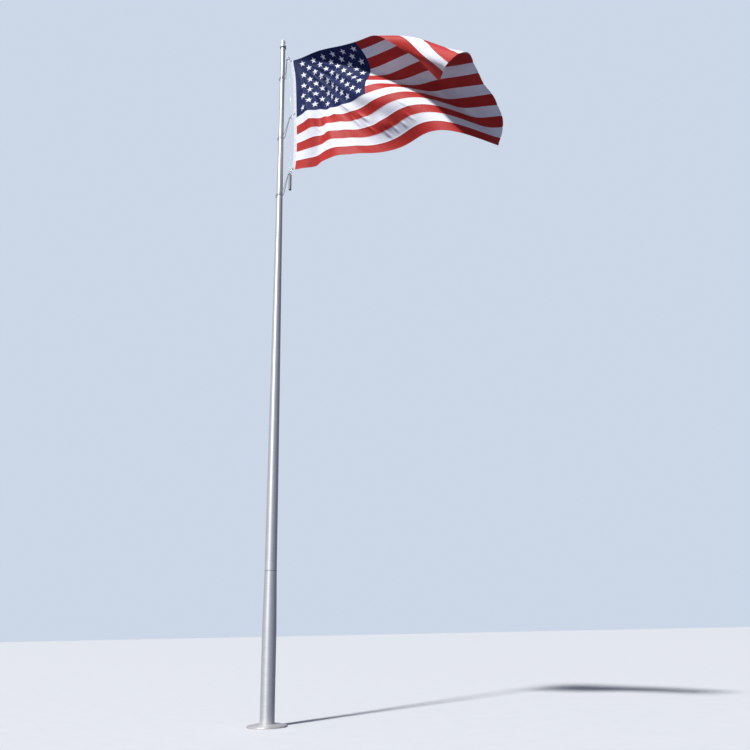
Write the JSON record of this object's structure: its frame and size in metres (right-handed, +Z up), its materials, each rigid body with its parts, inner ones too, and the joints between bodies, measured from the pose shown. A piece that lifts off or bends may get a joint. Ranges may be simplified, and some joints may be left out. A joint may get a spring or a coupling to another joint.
{
  "type": "flagpole",
  "caption": "Tapered two-section aluminium flagpole with flash collar, revolving truck, internal halyard, retainer slings, counterweight and a flying striped flag.",
  "frame": {"origin": "centre of the pole's butt, on the ground-level face", "axes": "+Z up the pole, +X the way the flag streams, +Y towards the side with the halyard door"},
  "size_m": [4.1682, 2.4646, 12.192],
  "materials": {
    "satin_aluminium": "satin brushed, clear",
    "spun_aluminium": "spun satin",
    "cast_aluminium": "as cast",
    "stainless_steel": "polished stainless",
    "sheave_nylon": "moulded",
    "wire_rope": "stranded wire",
    "sling_cover": "plastic-covered cable",
    "weight_metal": "dull grey",
    "heading_canvas": "woven canvas",
    "brass": "plated",
    "blue_nylon": "nylon cloth",
    "red_nylon": "nylon cloth",
    "white_nylon": "nylon cloth"
  },
  "bodies": {
    "pole": {"flash_collar": "spun_aluminium", "lower_shaft": "satin_aluminium", "upper_shaft": "satin_aluminium", "joint_sleeve": "cast_aluminium", "door_frame": "cast_aluminium", "access_door": "satin_aluminium", "door_lock": "stainless_steel", "truck_spindle": "cast_aluminium"},
    "truck": {"flag_heading": "heading_canvas", "grommets": "brass", "canton": "blue_nylon", "stripe_1": "red_nylon", "stripe_3": "red_nylon", "stripe_5": "red_nylon", "stripe_7": "red_nylon", "stripe_9": "red_nylon", "stripe_11": "red_nylon", "stripe_13": "red_nylon", "stripe_2": "white_nylon", "stripe_4": "white_nylon", "stripe_6": "white_nylon", "stripe_8": "white_nylon", "stripe_10": "white_nylon", "stripe_12": "white_nylon", "top_sling": "sling_cover", "middle_sling": "sling_cover", "bottom_sling": "sling_cover", "halyard_lead": "wire_rope", "halyard_upper": "wire_rope", "halyard_lower": "wire_rope", "truck_hood": "spun_aluminium", "truck_housing": "cast_aluminium", "halyard_sheave": "sheave_nylon", "sheave_axle": "stainless_steel", "top_snap": "stainless_steel", "middle_snap": "stainless_steel", "bottom_snap": "stainless_steel"},
    "weight": {"counterweight": "weight_metal"}
  },
  "joints": [
    {"name": "truck_spin", "type": "hinge", "parent": "pole", "child": "truck", "pos_m": [0, 0, 11.995], "axis": [0, 0, 1], "continuous": true},
    {"name": "weight_swing", "type": "hinge", "parent": "truck", "child": "weight", "pos_m": [0.18545, 0, 9.19087], "axis": [1, 0, 0], "range_deg": [-25, 25]}
  ]
}
